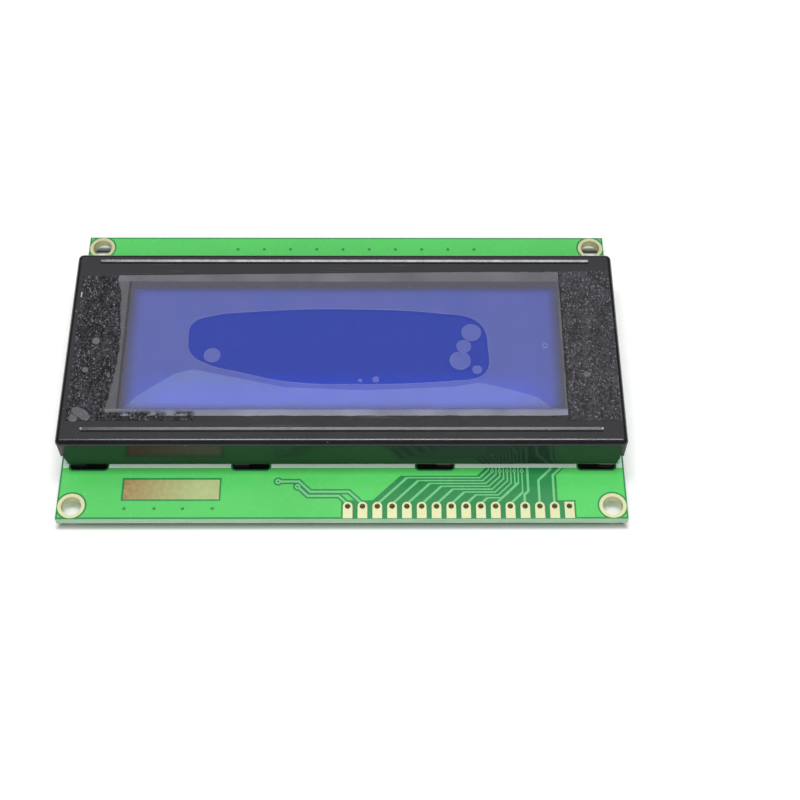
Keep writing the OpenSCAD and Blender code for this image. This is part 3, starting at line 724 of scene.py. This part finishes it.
def clungFinish():
    # grey haze round the window, dark flecks at both ends
    mat, tree, shader = newMaterial("filmOnBezel", **{
        "Roughness": clungLook["roughness"], "Specular IOR Level": clungLook["gloss"]})
    vector = objectCoords(tree)
    x, y, _ = axes(tree, vector)
    low, high = filmLook["windowLow"], filmLook["windowHigh"]
    wobble = mathStep(tree, "SUBTRACT", noiseIn(tree, vector, 650.0, 4.0, 0.6), 0.5)
    ragged = mathStep(tree, "SUBTRACT", noiseIn(tree, vector, 330.0, 5.0, 0.65), 0.5)

    def beyond(distance, sign, edge, width):
        # 0 at the window's edge, 1 where the band ends
        return mathStep(tree, "MULTIPLY_ADD", distance, sign / (width * mm), -edge / width)

    # the left band is narrow half way up and wide at the corners
    fromMiddle = mathStep(tree, "POWER", absolute(tree, y), 2.0)
    leftWidth = mathStep(tree, "MULTIPLY_ADD", fromMiddle, clungLook["leftGrowth"],
                         clungLook["leftWidth"] * mm)
    leftGap = mathStep(tree, "MULTIPLY_ADD", x, -1.0, low[0] * mm)
    left = mathStep(tree, "DIVIDE", leftGap, leftWidth)
    right = beyond(x, 1, high[0], clungLook["rightWidth"])
    rear = beyond(y, 1, high[1], clungLook["rearWidth"])
    front = beyond(y, -1, -low[1], clungLook["frontWidth"])
    sides = mathStep(tree, "MULTIPLY_ADD", ragged, clungLook["ragged"],
                     mathStep(tree, "MAXIMUM", left, right))
    across = mathStep(tree, "MULTIPLY_ADD", wobble, clungLook["wavy"],
                      mathStep(tree, "MAXIMUM", rear, front))
    band = remap(tree, mathStep(tree, "MAXIMUM", sides, across), *clungLook["bandEnd"], 1.0, 0.0)

    # flecks at both ends and along the left part of the front
    ends = mathStep(tree, "MAXIMUM", remap(tree, left, *clungLook["leftFlecks"]),
                    remap(tree, right, *clungLook["rightFlecks"]))
    corner = mathStep(tree, "MULTIPLY", remap(tree, x, *clungLook["cornerFlecks"]),
                      remap(tree, front, 0.1, 0.6))
    corner = mathStep(tree, "MULTIPLY", corner, remap(tree, ragged, -0.1, 0.0))
    ends = mathStep(tree, "MAXIMUM", ends, corner)
    flecks = noiseIn(tree, objectCoords(tree, scale=(2600, 1900, 900)), 1.0, 3.0, 0.7)
    clumps = noiseIn(tree, objectCoords(tree, scale=(520, 240, 500)), 1.0, 2.0)
    grey = remap(tree, mathStep(tree, "MULTIPLY_ADD", clumps, 0.25, flecks), 0.54, 0.74)
    dots = noiseIn(tree, objectCoords(tree, scale=(3300, 2300, 900), turn=(0, 0, 0.3)), 1.0, 2.0)
    pale = mathStep(tree, "MULTIPLY", remap(tree, dots, 0.58, 0.7), clungLook["paleShare"])
    fleckColour = mixColours(tree, grey, clungLook["fleckDark"], clungLook["fleckGrey"])
    fleckColour = mixColours(tree, pale, fleckColour, clungLook["fleckPale"])
    rightPale = remap(tree, right, *clungLook["rightFlecks"], 0.0, clungLook["rightShare"])
    fleckColour = mixColours(tree, rightPale, fleckColour, clungLook["rightPale"])

    # the band is bluish right in front of the window
    bluish = mathStep(tree, "MULTIPLY", remap(tree, front, 0.0, 0.9, 1.0, 0.0),
                      remap(tree, front, -0.02, 0.02))
    bluish = mathStep(tree, "MULTIPLY", bluish, remap(tree, leftGap, -0.4 * mm, 0.0, 1.0, 0.0))
    bandColour = mixColours(tree, bluish, clungLook["bandGrey"], clungLook["bandBlue"])
    inBand = mathStep(tree, "MULTIPLY", band, mathStep(tree, "SUBTRACT", 1.0, ends))
    tree.links.new(mixColours(tree, inBand, fleckColour, bandColour), shader.inputs["Base Color"])

    # the cover is thinner at both sides, and thinnest right beside the window on the left
    soft = remap(tree, noiseIn(tree, vector, 120.0, 3.0), *noiseRange, *clungLook["bandCover"])
    soft = mathStep(tree, "MULTIPLY", soft, remap(tree, front, 0.0, 0.3, *clungLook["frontCover"]))
    aside = mathStep(tree, "MAXIMUM", remap(tree, rear, 0.0, 0.1), remap(tree, front, 0.0, 0.15))
    beside = mathStep(tree, "COMPARE", leftGap, 0.2 * mm, 0.25 * mm)
    sideLevel = mixValues(tree, beside, clungLook["sideLevel"], clungLook["besideLevel"])
    soft = mathStep(tree, "MULTIPLY", soft, mixValues(tree, aside, sideLevel, 1.0))
    endCover = mathStep(tree, "MULTIPLY", ends, clungLook["fleckCover"])
    cover = mathStep(tree, "MAXIMUM", mathStep(tree, "MULTIPLY", band, soft), endCover)
    cover = mathStep(tree, "MAXIMUM", cover, clungLook["leastCover"])
    tree.links.new(cover, shader.inputs["Alpha"])
    return mat


def addFilm(sheet, name, shaded=False):
    look = filmFinishes[name]
    mat, tree, shader, vector = filmFinish(name, **look)
    if shaded:
        edgeShade(tree, shader, vector, look["cover"])
    dress(sheet, name, mat)


def makeFilm():
    low, high, top = filmLook["low"], filmLook["high"], filmLook["markTop"]
    (left, front), (right, rear) = filmLook["windowLow"], filmLook["windowHigh"]
    window = [(left, front), (right, front), (right, rear), (left, rear)]
    cling, zone = filmLook["clingOutline"], filmLook["zoneOutline"]
    bubbles = [circlePoints(place, radius) for place, radius in filmLook["bubbles"]]
    bubbleRings = [(points, True) for points in bubbles]

    onBezel = flatSheet([(filmLook["corners"], False), (window, False)], low, high)
    dress(onBezel, "filmOnBezel", clungFinish())
    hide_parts("protective_film")

    overWindow = flatSheet([(window, False), (cling, True), (zone, False)], low, high)
    addFilm(overWindow, "filmOverWindow", shaded=True)
    addFilm(flatSheet([(zone, False)], low, high), "filmPaleZone", shaded=True)
    addFilm(flatSheet([(cling, True)] + bubbleRings, low, high), "filmClung")
    discs = [flatSheet([ring], low, high) for ring in bubbleRings]
    addFilm(joinAll(discs), "filmBubbles")

    # the rims are the raised edges of the clung patch and the bubbles; their pale colour is a
    # painted highlight along them
    rim = filmLook["rim"]
    lines = [rimLine(points, rim, high) for points in [cling] + bubbles]
    lines.append(rimLine(circlePoints(*filmLook["trappedRing"]), 2 * rim, high))
    addFilm(joinAll(lines), "filmRimsAndHighlight")

    outlines = filmLook["patches"] + [circlePoints(*smudge) for smudge in filmLook["smudges"]]
    spots = [flatSheet([(points, True)], high, top) for points in outlines]
    addFilm(joinAll(spots), "filmPatches")
    addFilm(flatSheet([(filmLook["nick"], False)], high, top), "filmNick")


makeFilm()
print("film made")


# ---- lacquered-over vias: small dark dimples in the copper planes ----

viaLook = {
    "radius": 0.3 * mm,
    "rise": 0.035 * mm,                # top over the copper plane
    "depth": 0.04 * mm,
    "slope": (0.12 * mm, -0.01 * mm),  # inset and sink of the outer ring
    "bowl": (0.1 * mm, -0.02 * mm),    # the same of the inner one
    "front": [(-37.4, -28.0), (-32.25, -28.0), (-27.4, -28.0), (-22.3, -28.0)],
    "rearCount": 10,
    "rearStart": -20.7,
    "rearPitch": 5.0,
    "rearY": 27.2,
    "colour": rgb(48, 132, 74),
}


def makeVias():
    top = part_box("front_ground_plane")[1].z
    depth = viaLook["depth"]
    bpy.ops.mesh.primitive_cylinder_add(vertices=20, radius=viaLook["radius"], depth=depth,
                                        location=(0, 0, top + viaLook["rise"] - depth / 2))
    master = bpy.context.active_object
    bpy.ops.object.mode_set(mode="EDIT")
    mesh = bmesh.from_edit_mesh(master.data)
    for face in mesh.faces:
        face.select_set(face.normal.z > 0.9)
    bmesh.update_edit_mesh(master.data)
    for width, sink in (viaLook["slope"], viaLook["bowl"]):
        bpy.ops.mesh.inset(thickness=width, depth=sink)
    bpy.ops.object.mode_set(mode="OBJECT")
    bpy.ops.object.shade_smooth_by_angle(angle=math.radians(40))
    places = list(viaLook["front"])
    places += [(viaLook["rearStart"] + viaLook["rearPitch"] * k, viaLook["rearY"])
               for k in range(viaLook["rearCount"])]
    dots = []
    for x, y in places:
        dot = master.copy()
        dot.data = master.data.copy()
        bpy.context.collection.objects.link(dot)
        dot.location.x, dot.location.y = x * mm, y * mm
        dots.append(dot)
    bpy.data.objects.remove(master)
    for dot in dots:
        applyPlace(dot)
    finish = lacquerFinish("lacquerOverVia", viaLook["colour"], 0.1)[0]
    dress(joinAll(dots), "coveredVias", finish)


makeVias()
print("vias made")


# ---- stage, lamps and camera ----

stageLook = {
    "floorSize": 3.0,
    "floorColour": (0.96, 0.96, 0.96, 1.0),
    "floorLift": 0.2,
    # distances from the board's outline at which the floor changes
    "nearLift": (-2 * mm, 8 * mm),
    "farLift": (50 * mm, 800 * mm),
    # painted shadow: the floor's colour under the board, and its fade to pale across the board's
    # outline
    "shadowUnderBoard": (0.02, 0.02, 0.02, 1.0),
    "contact": (-0.9 * mm, 0.5 * mm),
    "cornerHole": (46.5 * mm, 27.5 * mm),
    "holeReach": 3.2 * mm,
    "holeFront": (-1.1 * mm, -1.7 * mm),
    "worldFill": 0.28,
    "frontFill": 1.3,
    "frontTurn": (-0.1, -0.6),
    "roomDim": 0.12,
    "ceilingLean": (0.34, 0.94),       # direction of the ceiling's middle, Y and Z
    "ceilingEdge": (0.72, 0.88),
}

lampLook = {
    "softbox": {"power": 1.42, "size": (0.27, 0.1), "place": Vector((0.0, 0.034, 0.5))},
    # for the underside alone, through the floor
    "lampBelow": {"power": 0.4, "size": (0.4, 0.3), "place": Vector((0.0, 0.0, -0.4))},
}


def makeFloor():
    bpy.ops.mesh.primitive_plane_add(size=stageLook["floorSize"], location=(0, 0, 0))
    floor = bpy.context.active_object
    applyPlace(floor)
    floor.name = "floor"
    mat, tree, shader = newMaterial("floorPale", **{"Roughness": 0.9, "Specular IOR Level": 0.0,
                                                    "Emission Color": (1, 1, 1, 1)})
    x, y, _ = axes(tree, objectCoords(tree))
    x, y = absolute(tree, x), absolute(tree, y)
    offX = mathStep(tree, "SUBTRACT", x, boardHigh.x)
    offY = mathStep(tree, "SUBTRACT", y, boardHigh.y)
    off = mathStep(tree, "MAXIMUM", offX, offY)
    # painted shadow: the floor is dark right under the board and across a thin contact strip at its
    # outline, but pale below its corner holes
    holeX, holeY = stageLook["cornerHole"]
    toHole = mathStep(tree, "MAXIMUM", absolute(tree, mathStep(tree, "SUBTRACT", x, holeX)),
                      absolute(tree, mathStep(tree, "SUBTRACT", y, holeY)))
    seenThrough = mathStep(tree, "LESS_THAN", toHole, stageLook["holeReach"])
    belowHole = mathStep(tree, "MULTIPLY", seenThrough, remap(tree, offY, *stageLook["holeFront"]))
    pale = mathStep(tree, "MAXIMUM", belowHole, remap(tree, off, *stageLook["contact"]))
    tree.links.new(mixColours(tree, pale, stageLook["shadowUnderBoard"], stageLook["floorColour"]),
                   shader.inputs["Base Color"])
    # the camera sees the floor paler, the more the further out, so that only the shadow stays
    near = remap(tree, off, *stageLook["nearLift"], 0.0, stageLook["floorLift"])
    lift = mathStep(tree, "ADD", near, remap(tree, off, *stageLook["farLift"]))
    path = addNode(tree, "ShaderNodeLightPath")
    tree.links.new(mathStep(tree, "MULTIPLY", path.outputs["Is Camera Ray"], lift),
                   shader.inputs["Emission Strength"])
    # from below the floor is clear, so that the underside is lit and seen
    floor.visible_shadow = False
    below = addNode(tree, "ShaderNodeNewGeometry").outputs["Backfacing"]
    clear = mathStep(tree, "MULTIPLY", below, path.outputs["Is Camera Ray"])
    tree.links.new(mathStep(tree, "SUBTRACT", 1.0, clear), shader.inputs["Alpha"])
    floor.data.materials.append(mat)


def makeWorld():
    world = bpy.data.worlds.new("studio")
    bpy.context.scene.world = world
    world.use_nodes = True
    tree = world.node_tree
    background = tree.nodes["Background"]
    path = addNode(tree, "ShaderNodeLightPath")
    _, y, z = axes(tree, addNode(tree, "ShaderNodeTexCoord").outputs["Generated"])
    # gloss shows a white ceiling that leans to the rear, and a dim room below it
    leanY, leanZ = stageLook["ceilingLean"]
    lean = mathStep(tree, "MULTIPLY_ADD", y, leanY, mathStep(tree, "MULTIPLY", z, leanZ))
    ceiling = remap(tree, lean, *stageLook["ceilingEdge"], stageLook["roomDim"], 1.0)
    # matt surfaces get more of the fill from the front
    fill = remap(tree, y, *stageLook["frontTurn"], stageLook["worldFill"], stageLook["frontFill"])
    strength = mixValues(tree, path.outputs["Is Glossy Ray"], fill, ceiling)
    # white behind everything
    seen = mathStep(tree, "MAXIMUM", path.outputs["Is Camera Ray"],
                    path.outputs["Is Transmission Ray"])
    background.inputs["Color"].default_value = (1, 1, 1, 1)
    tree.links.new(mixValues(tree, seen, strength, 1.0), background.inputs["Strength"])


def makeLamp(name, power, size, place):
    lamp = bpy.data.lights.new(name, "AREA")
    lamp.shape = "RECTANGLE"
    lamp.size, lamp.size_y = size
    lamp.energy = power
    holder = bpy.data.objects.new(name, lamp)
    bpy.context.collection.objects.link(holder)
    holder.location = place
    holder.rotation_euler = (-place).to_track_quat("-Z", "Y").to_euler()


cameraLook = {
    "place": Vector((7.35 * mm, -142.66 * mm, 229.64 * mm)),
    # angles in degrees
    "elevation": 58.94,
    "azimuth": -1.11,
    "roll": 0.94,
    "lens": 66.4,
    "sensor": 36.0,
    "nearest": 0.01,
}


def makeCamera():
    camera = bpy.data.cameras.new("camera")
    holder = bpy.data.objects.new("camera", camera)
    bpy.context.collection.objects.link(holder)
    camera.lens = cameraLook["lens"]
    camera.sensor_width = cameraLook["sensor"]
    camera.clip_start = cameraLook["nearest"]
    up = math.radians(cameraLook["elevation"])
    side = math.radians(cameraLook["azimuth"])
    forward = Vector((-math.sin(side) * math.cos(up), math.cos(side) * math.cos(up), -math.sin(up)))
    right = Vector((math.cos(side), math.sin(side), 0))
    above = right.cross(forward)
    roll = math.radians(cameraLook["roll"])
    right, above = (right * math.cos(roll) + above * math.sin(roll),
                    above * math.cos(roll) - right * math.sin(roll))
    turn = Matrix((right, above, -forward)).transposed()
    holder.matrix_world = Matrix.Translation(cameraLook["place"]) @ turn.to_4x4()
    bpy.context.scene.camera = holder


bpy.context.scene.view_settings.view_transform = "Standard"
makeFloor()
makeWorld()
for lampName, look in lampLook.items():
    makeLamp(lampName, **look)
makeCamera()
print("stage, lamps and camera set")
